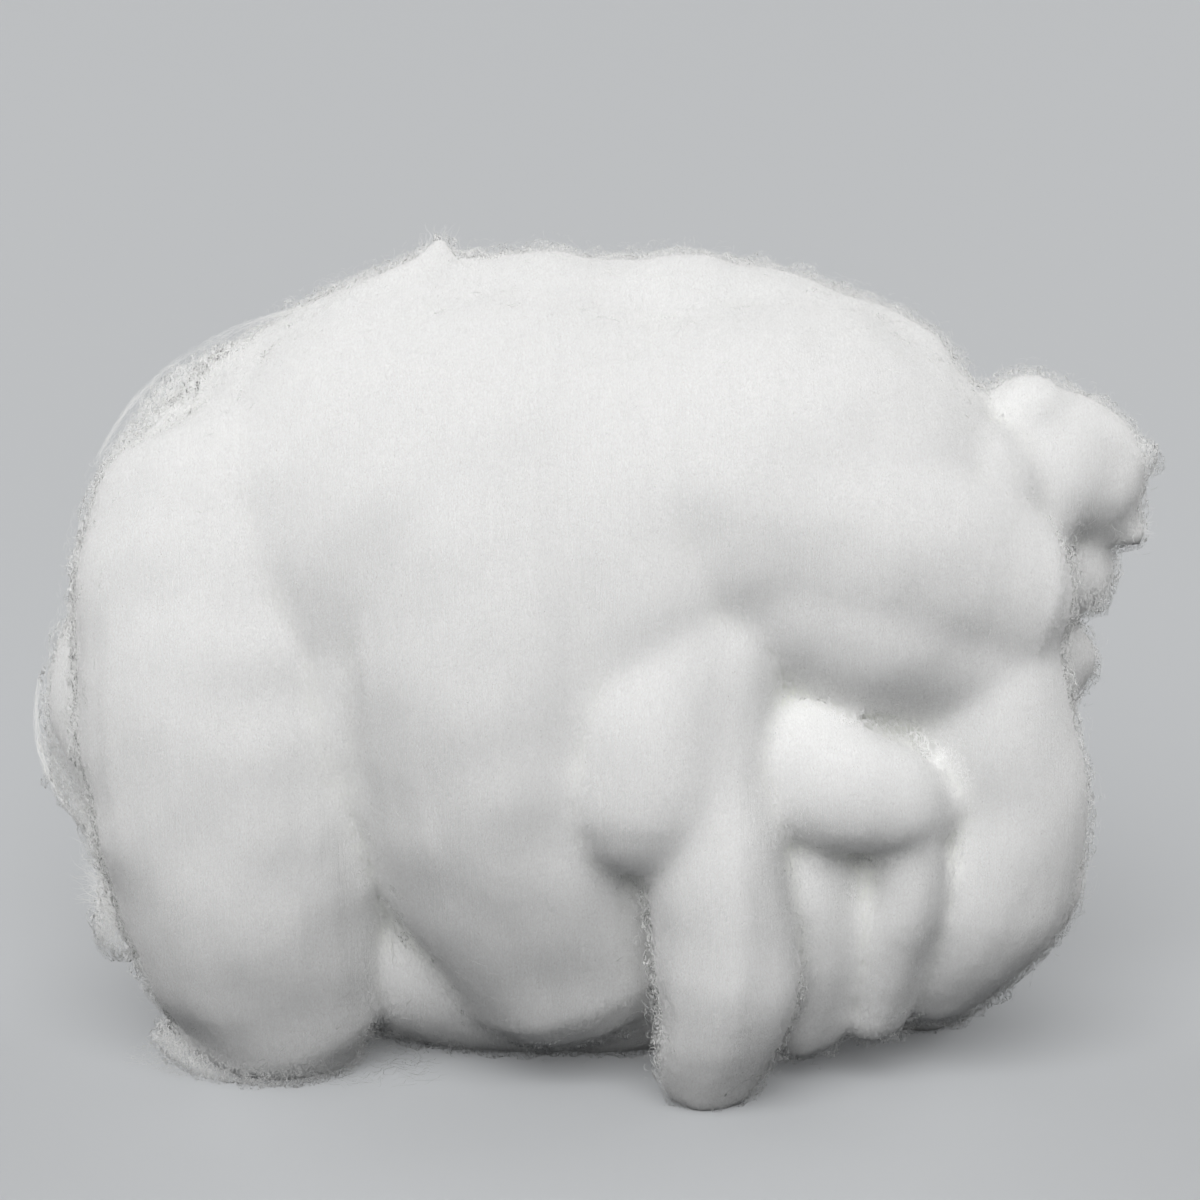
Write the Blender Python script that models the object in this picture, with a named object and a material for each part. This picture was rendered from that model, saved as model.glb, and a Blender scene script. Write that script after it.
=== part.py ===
"""A gathered length of cotton wool, at rest on a table.

The wool is one soft piece: a thick fleece folded over a filled middle and gathered into
rolls that lie against each other. Each roll is a round tube of changing girth along a
smooth middle line. The rolls and the middle are fused into one skin, softened, and
pressed flat where they meet the table.

+X runs along the length, to the right as seen from the front. +Y goes to the back and
+Z is up. The origin is on the flat foot, in the middle of the mass's length and depth.
"""

import math
from dataclasses import dataclass

import bmesh
import bpy
import numpy as np
from mathutils import Matrix, Vector

MM = 0.001

# The fused skin: how fine it is worked out, how far its creases are rounded, and about
# how many triangles it is left with.
SKIN_CELL = 4.5 * MM
SOFTENING_STRENGTH = 0.5
SOFTENING_REACH = 7.0 * MM
SKIN_TRIANGLES = 11300

# How deep the table presses the lowest rolls flat.
PRESSED_DEPTH = 3.0 * MM

# Along a roll: the spacing of its rings, the sides of each ring, and the rings that
# round off each end, as angles from the end's shoulder.
RING_SPACING = 6.0 * MM
RING_SIDES = 20
END_ANGLES = (30.0, 55.0, 75.0)

WOOL_COLOUR = (0.86, 0.86, 0.85, 1.0)
WOOL_ROUGHNESS = 0.95


@dataclass(frozen=True)
class Roll:
    """A soft roll. route holds the points of its middle line in millimetres, radius is
    its full radius, and girth says how full the roll is at each point of the route."""

    radius: float
    route: tuple
    girth: tuple


@dataclass(frozen=True)
class Swell:
    """A rounded swelling: its middle and its half sizes along X, Y and Z, in millimetres."""

    middle: tuple
    reach: tuple


# The filled middle that the folds lie on.
CORE = Swell(middle=(-10, 4, 98), reach=(96, 62, 92))
LEFT_DOME = Swell(middle=(-24, 0, 142), reach=(98, 70, 70))
RIGHT_DOME = Swell(middle=(45, -6, 154), reach=(68, 67, 54))
MIDDLE_FRONT = Swell(middle=(8, -26, 128), reach=(46, 50, 70))
VALLEY_FLOOR = Swell(middle=(-60, -16, 113), reach=(30, 46, 63))
HOLLOW_FLOOR = Swell(middle=(66, -6, 92), reach=(46, 45, 66))
FOOT = Swell(middle=(-8, 2, 36), reach=(88, 48, 38))

# The low waves of the crown, from left to right, and the puff on the right shoulder.
FIRST_WAVE = Swell(middle=(-10, 0, 202), reach=(22, 23, 17))
SECOND_WAVE = Swell(middle=(24, 0, 200), reach=(22, 22, 18))
THIRD_WAVE = Swell(middle=(54, 0, 192), reach=(22, 22, 19))
LAST_WAVE = Swell(middle=(80, -2, 183), reach=(18, 22, 18))
TOP_PUFF = Swell(middle=(117, -8, 178), reach=(11, 13, 9))

SWELLS = (
    CORE, LEFT_DOME, RIGHT_DOME, MIDDLE_FRONT, VALLEY_FLOOR, HOLLOW_FLOOR, FOOT,
    FIRST_WAVE, SECOND_WAVE, THIRD_WAVE, LAST_WAVE, TOP_PUFF,
)

# The fleece that runs over the top, from the left shoulder to the right one, and the
# peak on it.
CROWN = Roll(
    radius=36,
    route=((-78, 2, 163), (-42, 2, 180), (0, 4, 183), (44, 4, 182), (70, 2, 176)),
    girth=(1.0, 0.98, 0.93, 0.88, 0.82),
)
PEAK = Roll(
    radius=10,
    route=((-58, -8, 194), (-48, -8, 204), (-41, -8, 213), (-39, -8, 221)),
    girth=(1.7, 1.3, 0.8, 0.3),
)

# The front, from left to right.
LEFT_BUNDLE = Roll(
    radius=39,
    route=(
        (-88, 0, 164), (-95, -16, 144), (-96, -29, 112),
        (-93, -34, 76), (-89, -33, 48), (-84, -28, 28),
    ),
    girth=(0.86, 0.97, 1.0, 0.96, 0.88, 0.76),
)
LEFT_EAR = Roll(
    radius=18,
    route=((-112, -6, 134), (-127, -8, 104), (-128, -9, 78), (-114, -12, 50)),
    girth=(1.0, 1.0, 1.0, 0.95),
)
SKIRT = Roll(
    radius=10,
    route=((-102, -20, 14), (-90, -32, 9), (-72, -37, 8), (-54, -35, 14)),
    girth=(1.1, 1.0, 0.9, 0.8),
)
CENTRE_BUNDLE = Roll(
    radius=45,
    route=(
        (-26, -2, 178), (-26, -18, 163), (-24, -30, 142),
        (-23, -38, 110), (-18, -37, 74), (-8, -31, 44),
    ),
    girth=(0.78, 0.92, 1.0, 1.0, 0.92, 0.76),
)
POUCH = Roll(
    radius=23,
    route=((26, -30, 162), (24, -45, 134), (17, -60, 106), (15, -65, 89)),
    girth=(0.95, 1.0, 1.0, 0.96),
)
STRAND = Roll(
    radius=19,
    route=(
        (42, -30, 164), (36, -48, 132), (29, -62, 98),
        (33, -68, 64), (36, -66, 37), (32, -57, 13),
    ),
    girth=(1.1, 1.0, 0.88, 0.93, 0.92, 0.72),
)
SECOND_STRAND = Roll(
    radius=13,
    route=((48, -46, 92), (55, -53, 66), (60, -49, 43), (57, -38, 20)),
    girth=(0.8, 0.95, 1.0, 0.9),
)
TONGUE = Roll(
    radius=17,
    route=((38, -46, 100), (53, -56, 93), (66, -61, 88), (78, -60, 85), (84, -57, 82)),
    girth=(0.85, 1.0, 0.96, 0.82, 0.62),
)
TONGUE_TAIL = Roll(
    radius=11,
    route=((80, -57, 82), (83, -58, 62), (79, -51, 42), (75, -42, 24)),
    girth=(0.9, 0.82, 0.85, 0.9),
)
BROW = Roll(
    radius=31,
    route=((16, -26, 168), (46, -40, 158), (74, -42, 145), (98, -34, 133)),
    girth=(0.95, 1.0, 1.0, 0.92),
)
RIGHT_COLUMN = Roll(
    radius=21,
    route=((98, -30, 126), (104, -39, 104), (110, -42, 80), (105, -39, 56), (93, -28, 36)),
    girth=(1.15, 1.04, 0.94, 1.02, 0.98),
)
COLUMN_KNOT = Roll(
    radius=8,
    route=((112, -30, 66), (120, -32, 56), (117, -32, 46)),
    girth=(1.2, 1.4, 1.1),
)

# The right shoulder with its two tips, and what hangs below it.
SHOULDER = Roll(
    radius=25,
    route=((78, -4, 156), (100, -5, 159), (122, -4, 162), (130, -2, 160)),
    girth=(0.9, 0.86, 0.86, 0.76),
)
UPPER_TIP = Roll(
    radius=8,
    route=((124, -8, 166), (137, -8, 167), (144, -8, 165)),
    girth=(1.8, 1.2, 0.5),
)
LOWER_TIP = Roll(
    radius=8,
    route=((124, -6, 156), (137, -6, 150), (144, -6, 145)),
    girth=(1.8, 1.1, 0.6),
)
SHOULDER_PUFF = Roll(
    radius=14.5,
    route=((112, -2, 142), (127, 0, 134)),
    girth=(1.0, 1.0),
)
SIDE_PUFF = Roll(
    radius=13,
    route=((112, 8, 116), (127, 10, 106)),
    girth=(1.0, 0.95),
)
RIGHT_SIDE = Roll(
    radius=26,
    route=((100, 6, 140), (106, 8, 96), (100, 8, 54), (90, 6, 24)),
    girth=(0.95, 1.0, 1.0, 0.9),
)
LEFT_SIDE = Roll(
    radius=30,
    route=((-98, 6, 150), (-106, 6, 100), (-98, 4, 56), (-88, 2, 26)),
    girth=(0.95, 1.0, 0.95, 0.85),
)

# The back, from left to right as seen from the front.
BACK_LEFT = Roll(
    radius=36,
    route=((-82, 14, 158), (-92, 32, 122), (-90, 40, 74), (-80, 34, 32)),
    girth=(0.9, 1.0, 1.0, 0.85),
)
BACK_MIDDLE_LEFT = Roll(
    radius=42,
    route=((-36, 12, 168), (-44, 38, 134), (-42, 48, 80), (-36, 40, 38)),
    girth=(0.92, 1.0, 1.0, 0.88),
)
BACK_MIDDLE = Roll(
    radius=36,
    route=((14, 12, 172), (14, 44, 134), (18, 54, 84), (14, 44, 34)),
    girth=(0.95, 1.0, 1.0, 0.88),
)
BACK_MIDDLE_RIGHT = Roll(
    radius=32,
    route=((54, 12, 166), (62, 38, 128), (60, 48, 78), (54, 38, 30)),
    girth=(0.95, 1.0, 1.0, 0.9),
)
BACK_RIGHT = Roll(
    radius=28,
    route=((88, 10, 148), (96, 30, 112), (92, 36, 68), (84, 28, 28)),
    girth=(0.95, 1.0, 1.0, 0.9),
)
BACK_FOLD = Roll(
    radius=27,
    route=((-72, 42, 150), (-26, 57, 126), (26, 63, 88), (60, 50, 46)),
    girth=(0.85, 1.0, 1.0, 0.85),
)

ROLLS = (
    CROWN, PEAK, LEFT_BUNDLE, LEFT_EAR, SKIRT, CENTRE_BUNDLE, POUCH, STRAND,
    SECOND_STRAND, TONGUE, TONGUE_TAIL, BROW, RIGHT_COLUMN, COLUMN_KNOT, SHOULDER, UPPER_TIP,
    LOWER_TIP, SHOULDER_PUFF, SIDE_PUFF, RIGHT_SIDE, LEFT_SIDE, BACK_LEFT, BACK_MIDDLE_LEFT,
    BACK_MIDDLE, BACK_MIDDLE_RIGHT, BACK_RIGHT, BACK_FOLD,
)


def clear_scene():
    """Removes whatever the scene holds."""
    for obj in list(bpy.data.objects):
        bpy.data.objects.remove(obj)


def smooth_line(knots, spacing):
    """Points about spacing apart on the smooth line through knots, in as many columns.

    Each stretch between two knots is the Catmull-Rom cubic of those two and their
    neighbours. The first and last knots are mirrored past the ends.
    """
    first = 2 * knots[0] - knots[1]
    last = 2 * knots[-1] - knots[-2]
    held = np.vstack([first, knots, last])
    stretches = []
    for a, b, c, d in zip(held, held[1:], held[2:], held[3:]):
        steps = max(2, math.ceil(np.linalg.norm((c - b)[:3]) / spacing))
        t = np.linspace(0, 1, steps, endpoint=False)[:, None]
        cubic = (
            2 * b
            + (c - a) * t
            + (2 * a - 5 * b + 4 * c - d) * t**2
            + (3 * b - a - 3 * c + d) * t**3
        ) / 2
        stretches.append(cubic)
    return np.vstack([*stretches, knots[-1:]])


def round_end(line):
    """Rings that close the last ring of line with a half ball, each with its radius."""
    tip, before = line[-1], line[-2]
    along = (tip - before)[:3]
    along = along / np.linalg.norm(along)
    angles = np.radians(END_ANGLES)
    places = tip[:3] + np.outer(np.sin(angles), along) * tip[3]
    return np.column_stack([places, np.cos(angles) * tip[3]])


def roll_line(roll):
    """The rings of a roll with both its ends rounded: a place and a radius each."""
    places = np.array(roll.route, float) * MM
    radii = np.array(roll.girth) * roll.radius * MM
    line = smooth_line(np.column_stack([places, radii]), RING_SPACING)
    return np.vstack([round_end(line[::-1])[::-1], line, round_end(line)])


def add_roll(mass, roll):
    """Adds a roll's tube, with a cap at each end, to the mesh mass."""
    curve = bpy.data.curves.new("roll", "CURVE")
    curve.dimensions = "3D"
    curve.bevel_depth = 1.0
    curve.bevel_resolution = RING_SIDES // 2 - 2
    curve.use_fill_caps = True
    line = roll_line(roll)
    spline = curve.splines.new("POLY")
    spline.points.add(len(line) - 1)
    for point, (x, y, z, radius) in zip(spline.points, line):
        point.co = (x, y, z, 1.0)
        point.radius = radius
    holder = bpy.data.objects.new("roll", curve)
    tube = bpy.data.meshes.new_from_object(holder)
    mass.from_mesh(tube)
    bpy.data.objects.remove(holder)
    bpy.data.meshes.remove(tube)


def add_swell(mass, swell):
    """Adds a swelling, a ball stretched to its reach, to the mesh mass."""
    place = Matrix.Translation(Vector(swell.middle) * MM)
    stretch = Matrix.Diagonal((*(Vector(swell.reach) * MM), 1.0))
    bmesh.ops.create_icosphere(mass, subdivisions=4, radius=1.0, matrix=place @ stretch)


def rolls_mesh():
    """All rolls and swellings as one mesh of separate, overlapping closed forms."""
    mass = bmesh.new()
    for swell in SWELLS:
        add_swell(mass, swell)
    for roll in ROLLS:
        add_roll(mass, roll)
    mesh = bpy.data.meshes.new("cotton_wool")
    mass.to_mesh(mesh)
    mass.free()
    return mesh


def table_block(side):
    """The block that cuts the foot flat, a cube with its top face at the table's height."""
    block = bmesh.new()
    place = Matrix.Translation((0, 0, PRESSED_DEPTH - side / 2))
    bmesh.ops.create_cube(block, size=side, matrix=place)
    mesh = bpy.data.meshes.new("table_block")
    block.to_mesh(mesh)
    block.free()
    cutter = bpy.data.objects.new("table_block", mesh)
    cutter.hide_render = True
    cutter.display_type = "WIRE"
    bpy.context.scene.collection.objects.link(cutter)
    return cutter


def wool_material():
    """Bleached cotton: a matt, slightly warm white."""
    material = bpy.data.materials.new("bleached_cotton")
    material.use_nodes = True
    shader = material.node_tree.nodes["Principled BSDF"]
    shader.inputs["Base Color"].default_value = WOOL_COLOUR
    shader.inputs["Roughness"].default_value = WOOL_ROUGHNESS
    shader.inputs["Metallic"].default_value = 0.0
    material.diffuse_color = WOOL_COLOUR
    return material


def evaluated(obj):
    """The object with its modifiers worked out."""
    return obj.evaluated_get(bpy.context.evaluated_depsgraph_get())


def fused_skin(wool):
    """Fuses the rolls into one softened skin and leaves it SKIN_TRIANGLES triangles."""
    skin = wool.modifiers.new("fused_skin", "REMESH")
    skin.mode = "VOXEL"
    skin.voxel_size = SKIN_CELL
    skin.use_smooth_shade = True

    soft = wool.modifiers.new("softened", "SMOOTH")
    soft.factor = SOFTENING_STRENGTH
    soft.iterations = round((SOFTENING_REACH / SKIN_CELL) ** 2 / SOFTENING_STRENGTH)

    mesh = evaluated(wool).data
    mesh.calc_loop_triangles()
    fewer = wool.modifiers.new("fewer_faces", "DECIMATE")
    fewer.decimate_type = "COLLAPSE"
    fewer.ratio = min(1.0, SKIN_TRIANGLES / len(mesh.loop_triangles))


def press_foot(wool):
    """Cuts the foot flat at the table's height, with a cube twice the mass's length."""
    foot = wool.modifiers.new("pressed_foot", "BOOLEAN")
    foot.operation = "DIFFERENCE"
    foot.solver = "EXACT"
    foot.object = table_block(2 * evaluated(wool).dimensions.x)
    return foot.object


def stand_on_origin(wool, cutter):
    """Moves the mass so that the middle of its length and depth is over the origin."""
    corners = np.array([tuple(corner) for corner in evaluated(wool).bound_box])
    middle = (corners.min(axis=0) + corners.max(axis=0)) / 2
    wool.location = (-middle[0], -middle[1], -PRESSED_DEPTH)
    cutter.location = wool.location


def main():
    """Makes the cotton wool."""
    clear_scene()
    wool = bpy.data.objects.new("cotton_wool", rolls_mesh())
    bpy.context.scene.collection.objects.link(wool)
    wool.data.materials.append(wool_material())
    fused_skin(wool)
    cutter = press_foot(wool)
    stand_on_origin(wool, cutter)


if __name__ == "__main__":
    main()
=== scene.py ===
"""Dresses the cotton wool: its fleece, the nap that lies on it and the fibres that stray.

The fleece is worked out once more from the rolls that the solid is fused from, on a finer
skin. Every lock and fibre on it follows one flow, which runs down the hanging rolls and
over the crown from the back to the front. Lengths are in millimetres, and a mesh gets them
in metres.
"""

import logging
import math
from dataclasses import dataclass
from enum import Enum

import bpy
import numpy as np
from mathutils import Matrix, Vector

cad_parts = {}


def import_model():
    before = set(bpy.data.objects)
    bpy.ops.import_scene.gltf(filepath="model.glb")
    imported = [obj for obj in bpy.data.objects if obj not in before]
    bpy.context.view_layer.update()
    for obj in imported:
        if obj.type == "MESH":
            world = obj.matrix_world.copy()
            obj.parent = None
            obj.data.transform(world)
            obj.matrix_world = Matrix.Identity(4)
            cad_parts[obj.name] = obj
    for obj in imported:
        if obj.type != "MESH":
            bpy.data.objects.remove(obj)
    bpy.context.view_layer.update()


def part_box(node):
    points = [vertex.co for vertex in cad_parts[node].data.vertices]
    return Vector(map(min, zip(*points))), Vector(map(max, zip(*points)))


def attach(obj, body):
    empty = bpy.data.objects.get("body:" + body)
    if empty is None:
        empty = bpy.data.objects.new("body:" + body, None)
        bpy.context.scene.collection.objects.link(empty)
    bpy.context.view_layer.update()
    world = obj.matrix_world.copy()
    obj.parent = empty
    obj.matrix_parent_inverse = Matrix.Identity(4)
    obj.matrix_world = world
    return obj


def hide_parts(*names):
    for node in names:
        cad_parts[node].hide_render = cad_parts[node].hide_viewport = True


LOG = logging.getLogger("cotton_wool")
MM = 0.001
NODE = "cotton_wool"
BODY = "root"

# How far the table presses the lowest rolls flat, as on the solid.
PRESSED_DEPTH = 3.0

Array = np.ndarray


def unit(vectors: Array) -> Array:
    """Vectors scaled to length 1, along the last axis."""
    length = np.linalg.norm(vectors, axis=-1, keepdims=True)
    return vectors / np.maximum(length, 1e-9)


def along(a: Array, b: Array) -> Array:
    """The dot product of two stacks of vectors, kept as a column."""
    return (a * b).sum(-1, keepdims=True)


def linear(code: str) -> tuple[float, float, float, float]:
    """Turns an sRGB hex colour to linear light.

    Args:
        code: six hex digits after a hash.

    Returns:
        Red, green, blue and an alpha of 1.
    """
    channels = [int(code[i : i + 2], 16) / 255 for i in (1, 3, 5)]
    light = [c / 12.92 if c <= 0.04045 else ((c + 0.055) / 1.055) ** 2.4 for c in channels]
    return (*light, 1.0)


def soft_noise(points: Array, wavelength: float, waves: int, seed: int) -> Array:
    """Soft lumps in space, with a root mean square of 1.

    Each wave is the cosine of the distance along a random direction, at a random start and
    at a length within a third of wavelength. The lumps are the sum of the waves.

    Args:
        points: places in millimetres.
        wavelength: the usual distance between lumps.
        waves: how many waves are summed.
        seed: picks the directions and starts.

    Returns:
        One height for each point.
    """
    rng = np.random.default_rng(seed)
    headings = unit(rng.normal(size=(waves, 3)))
    turns = 2 * np.pi / (wavelength * rng.uniform(0.67, 1.33, waves))
    starts = rng.uniform(0, 2 * np.pi, waves)
    return np.cos(points @ (headings * turns[:, None]).T + starts).sum(1) * math.sqrt(2 / waves)


class Flow(Enum):
    """Which way the fibres of a form run."""

    ALONG = "along the roll"
    OVER = "round it, from the back over the top to the front"


@dataclass(frozen=True)
class Roll:
    """A soft roll of fleece.

    radius is its full radius, route holds the points of its middle line, and girth says how
    full the roll is at each of them.
    """

    radius: float
    route: tuple
    girth: tuple
    flow: Flow = Flow.ALONG
    spacing: float = 4.0
    sides: int = 24

    def line(self) -> Array:
        """The rings along the roll: x, y, z and a radius each.

        Between two points of the route runs the Catmull-Rom cubic of those two and their
        neighbours, with the end points mirrored past the ends.
        """
        knots = np.column_stack([self.route, np.array(self.girth) * self.radius])
        held = np.vstack([2 * knots[0] - knots[1], knots, 2 * knots[-1] - knots[-2]])
        reach = np.linalg.norm(np.diff(knots[:, :3], axis=0), axis=1)
        spot = np.concatenate([np.arange(n) / n + i for i, n in enumerate(self._steps(reach))])
        first = spot.astype(int)
        t = (spot - first)[:, None]
        a, b, c, d = (held[first + i] for i in range(4))
        cubic = 2 * b + (c - a) * t + (2 * a - 5 * b + 4 * c - d) * t**2
        cubic = (cubic + (3 * b - a - 3 * c + d) * t**3) / 2
        return np.vstack([cubic, knots[-1:]])

    def _steps(self, reach: Array) -> Array:
        """How many rings each stretch of the route gets."""
        return np.maximum(2, np.ceil(reach / self.spacing).astype(int))

    def surface(self) -> tuple[Array, list]:
        """The roll's closed skin: rings of round section, with a half ball at each end.

        Returns:
            The points and the faces.
        """
        line = self.line()
        line = np.vstack([self._cap(line[::-1])[::-1], line, self._cap(line)])
        heading = unit(np.gradient(line[:, :3], axis=0))
        across = np.eye(3)[np.abs(heading.mean(0)).argmin()]
        side = unit(np.cross(heading, across))
        up = np.cross(heading, side)
        turn = np.linspace(0, 2 * np.pi, self.sides, endpoint=False)[:, None]
        ring = np.cos(turn) * side[:, None] + np.sin(turn) * up[:, None]
        points = line[:, None, :3] + line[:, None, 3:] * ring
        return closed_grid(points, line[0, :3], line[-1, :3])

    @staticmethod
    def _cap(line: Array) -> Array:
        """Rings that close the last ring of line with a half ball."""
        tip = line[-1]
        heading = unit(tip[:3] - line[-2, :3])
        angle = np.radians([25.0, 50.0, 70.0, 88.0])
        places = tip[:3] + np.outer(np.sin(angle), heading) * tip[3]
        return np.column_stack([places, np.cos(angle) * tip[3]])


@dataclass(frozen=True)
class Swell:
    """A rounded swelling under the folds: its middle and its half sizes."""

    middle: tuple
    reach: tuple
    flow: Flow = Flow.OVER

    def surface(self) -> tuple[Array, list]:
        """The swelling's closed skin, a ball stretched to its reach.

        A point is the middle plus reach times (sin a cos b, sin a sin b, -cos a), with a
        from pole to pole and b once round.
        """
        a = np.linspace(0, np.pi, 34)[1:-1, None, None]
        b = np.linspace(0, 2 * np.pi, 48, endpoint=False)[None, :, None]
        ball = np.concatenate(
            [np.sin(a) * np.cos(b), np.sin(a) * np.sin(b), -np.cos(a) * np.ones_like(b)], axis=2
        )
        middle, reach = np.array(self.middle, float), np.array(self.reach, float)
        pole = np.array([0.0, 0.0, reach[2]])
        return closed_grid(middle + ball * reach, middle - pole, middle + pole)


def closed_grid(rings: Array, first: Array, last: Array) -> tuple[Array, list]:
    """Closes a stack of rings, each of the same number of points, with a point at each end.

    Args:
        rings: places by ring and by point round the ring.
        first: the point that closes the first ring.
        last: the point that closes the last ring.

    Returns:
        The points and the faces, facing out where the rings run round by the right hand.
    """
    count, sides = rings.shape[:2]
    index = np.arange(count * sides).reshape(count, sides)
    ahead = np.roll(index, -1, axis=1)
    quads = np.stack([index[:-1], ahead[:-1], ahead[1:], index[1:]], axis=-1).reshape(-1, 4)
    start, end = count * sides, count * sides + 1
    fans = [(start, b, a) for a, b in zip(index[0], ahead[0])]
    fans += [(a, b, end) for a, b in zip(index[-1], ahead[-1])]
    points = np.vstack([rings.reshape(-1, 3), first, last])
    return points, [*quads.tolist(), *fans]


@dataclass(frozen=True)
class Dent:
    """A place where the fleece gives way to a loose web: its middle, reach and depth."""

    middle: tuple
    reach: float
    depth: float


@dataclass(frozen=True)
class Locks:
    """Locks of fibre that stand in relief on the fleece.

    height is their root mean square height. Each lock follows the flow for steps of stride,
    and is spread sideways by rounds of smoothing.
    """

    count: int
    steps: int
    stride: float
    rounds: int
    height: float
    seed: int


class Skin:
    """The outer surface of the fleece, as arrays.

    points are in millimetres and quads are its faces. beside holds each point's neighbours
    along the faces' sides, and around also those across the faces. A point with fewer
    neighbours than the row has room for counts itself in their place.
    """

    def __init__(self, points: Array, quads: Array) -> None:
        self.points = points
        self.quads = quads
        sides = np.vstack([quads[:, [i, (i + 1) % 4]] for i in range(4)])
        across = np.vstack([quads[:, [0, 2]], quads[:, [1, 3]]])
        self.beside = self._table(sides)
        self.around = self._table(np.vstack([sides, across]))
        self.normals = self.worked_normals()
        self.flow = np.zeros_like(points)
        self.depth = np.zeros(len(points))
        self.move = np.zeros(3)

    def _table(self, pairs: Array) -> Array:
        """Each point's neighbours in a row, from the pairs of points that are neighbours."""
        count = len(self.points)
        both = np.vstack([pairs, pairs[:, ::-1]]).astype(np.int64)
        keys = np.unique(both[:, 0] * count + both[:, 1])
        own, other = keys // count, keys % count
        start = np.searchsorted(own, np.arange(count))
        rank = np.arange(len(own)) - start[own]
        table = np.repeat(np.arange(count)[:, None], rank.max() + 1, axis=1)
        table[own, rank] = other
        return table

    def worked_normals(self) -> Array:
        """The normal at each point: the sum of its faces' normals, by their size."""
        a, b, c, d = (self.points[self.quads[:, i]] for i in range(4))
        face = np.cross(c - a, d - b)
        total = np.zeros_like(self.points)
        for corner in range(4):
            for axis in range(3):
                spots = self.quads[:, corner]
                total[:, axis] += np.bincount(spots, face[:, axis], len(self.points))
        return unit(total)

    def smoothed(self, values: Array, rounds: int, share: float = 0.5) -> Array:
        """Values moved rounds times by share towards the mean of their neighbours'."""
        for _ in range(rounds):
            values = values + share * (values[self.beside].mean(axis=1) - values)
        return values

    def set_flow(self, flow: Array, rounds: int) -> None:
        """Lays the flow along the skin, smoothed over rounds."""
        for _ in range(rounds):
            flow = flow + flow[self.beside].mean(axis=1)
            flow = unit(flow - along(flow, self.normals) * self.normals)
        self.flow = flow

    def walk(self, at: Array, stride: float, steps: int, stray: Array) -> tuple[Array, Array]:
        """Carries points over the skin, each at a fixed angle to the flow.

        At each step a point goes one stride ahead, finds the nearest skin point among its
        neighbours, and is set back onto that point's tangent plane.

        Args:
            at: the skin points they start from.
            stride: the length of a step.
            steps: how many steps are taken.
            stray: each point's angle to the flow, in radians.

        Returns:
            The places, by walker and step, and the skin points nearest to them.
        """
        turn_along, turn_across = np.cos(stray)[:, None], np.sin(stray)[:, None]
        rows = np.arange(len(at))
        place = self.points[at]
        places, spots = [place], [at]
        for _ in range(steps):
            flow = self.flow[at]
            heading = turn_along * flow + turn_across * np.cross(self.normals[at], flow)
            place = place + stride * heading
            for _ in range(2):
                near = self.around[at]
                gap = ((self.points[near] - place[:, None]) ** 2).sum(-1)
                at = near[rows, gap.argmin(1)]
            normal = self.normals[at]
            place = place - along(place - self.points[at], normal) * normal
            places.append(place)
            spots.append(at)
        return np.stack(places, axis=1), np.stack(spots, axis=1)

    def beside_spread(self, at: Array, rng: np.random.Generator) -> Array:
        """Random shifts from skin points, up to half way to one of their neighbours."""
        other = self.around[at, rng.integers(self.around.shape[1], size=len(at))]
        return (self.points[other] - self.points[at]) * rng.uniform(0, 0.5, (len(at), 1))

    def relief(self, locks: Locks) -> Array:
        """The height of many locks at each skin point.

        A lock raises or sinks the points it passes by a random amount times sin(pi s), with
        s from 0 to 1 along it. The sum is smoothed and scaled to the locks' height.
        """
        rng = np.random.default_rng(locks.seed)
        at = rng.integers(len(self.points), size=locks.count)
        stray = rng.normal(0, 0.08, locks.count)
        _, spots = self.walk(at, locks.stride, locks.steps, stray)
        hump = np.sin(np.pi * np.linspace(0, 1, locks.steps + 1))
        weight = rng.normal(size=(locks.count, 1)) * hump
        height = np.bincount(spots.ravel(), weight.ravel(), len(self.points))
        height = self.smoothed(height, locks.rounds)
        return height * locks.height / height.std()

    def dented(self, dent: "Dent") -> Array:
        """The points, sunk in by the dent's depth times exp(-(d / reach)^2) at d from it."""
        apart = np.linalg.norm(self.points - self.move - np.array(dent.middle), axis=1)
        sunk = dent.depth * np.exp(-((apart / dent.reach) ** 2))
        return self.points - sunk[:, None] * self.normals

    def fold_depth(self, rounds: int) -> Array:
        """How far each point lies below the skin smoothed over rounds, in millimetres."""
        return along(self.smoothed(self.points, rounds) - self.points, self.normals)[:, 0]


def remeshed(forms: list, cell: float) -> Skin:
    """One skin round closed forms, by a voxel remesh.

    Args:
        forms: each form's points in millimetres and its faces.
        cell: the side of a voxel in millimetres.

    Returns:
        The skin.
    """
    faces, count = [], 0
    for points, own in forms:
        faces += [[corner + count for corner in face] for face in own]
        count += len(points)
    mesh = bpy.data.meshes.new("forms")
    mesh.from_pydata(np.vstack([points for points, _ in forms]) * MM, [], faces)
    holder = bpy.data.objects.new("forms", mesh)
    bpy.context.scene.collection.objects.link(holder)
    remesh = holder.modifiers.new("fused", "REMESH")
    remesh.mode = "VOXEL"
    remesh.voxel_size = cell * MM
    shape = holder.evaluated_get(bpy.context.evaluated_depsgraph_get()).data
    places = np.empty(len(shape.vertices) * 3)
    shape.vertices.foreach_get("co", places)
    corners = np.empty(len(shape.loops), int)
    shape.loops.foreach_get("vertex_index", corners)
    skin = Skin(places.reshape(-1, 3) / MM, corners.reshape(-1, 4))
    bpy.data.objects.remove(holder)
    bpy.data.meshes.remove(mesh)
    return skin


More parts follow.
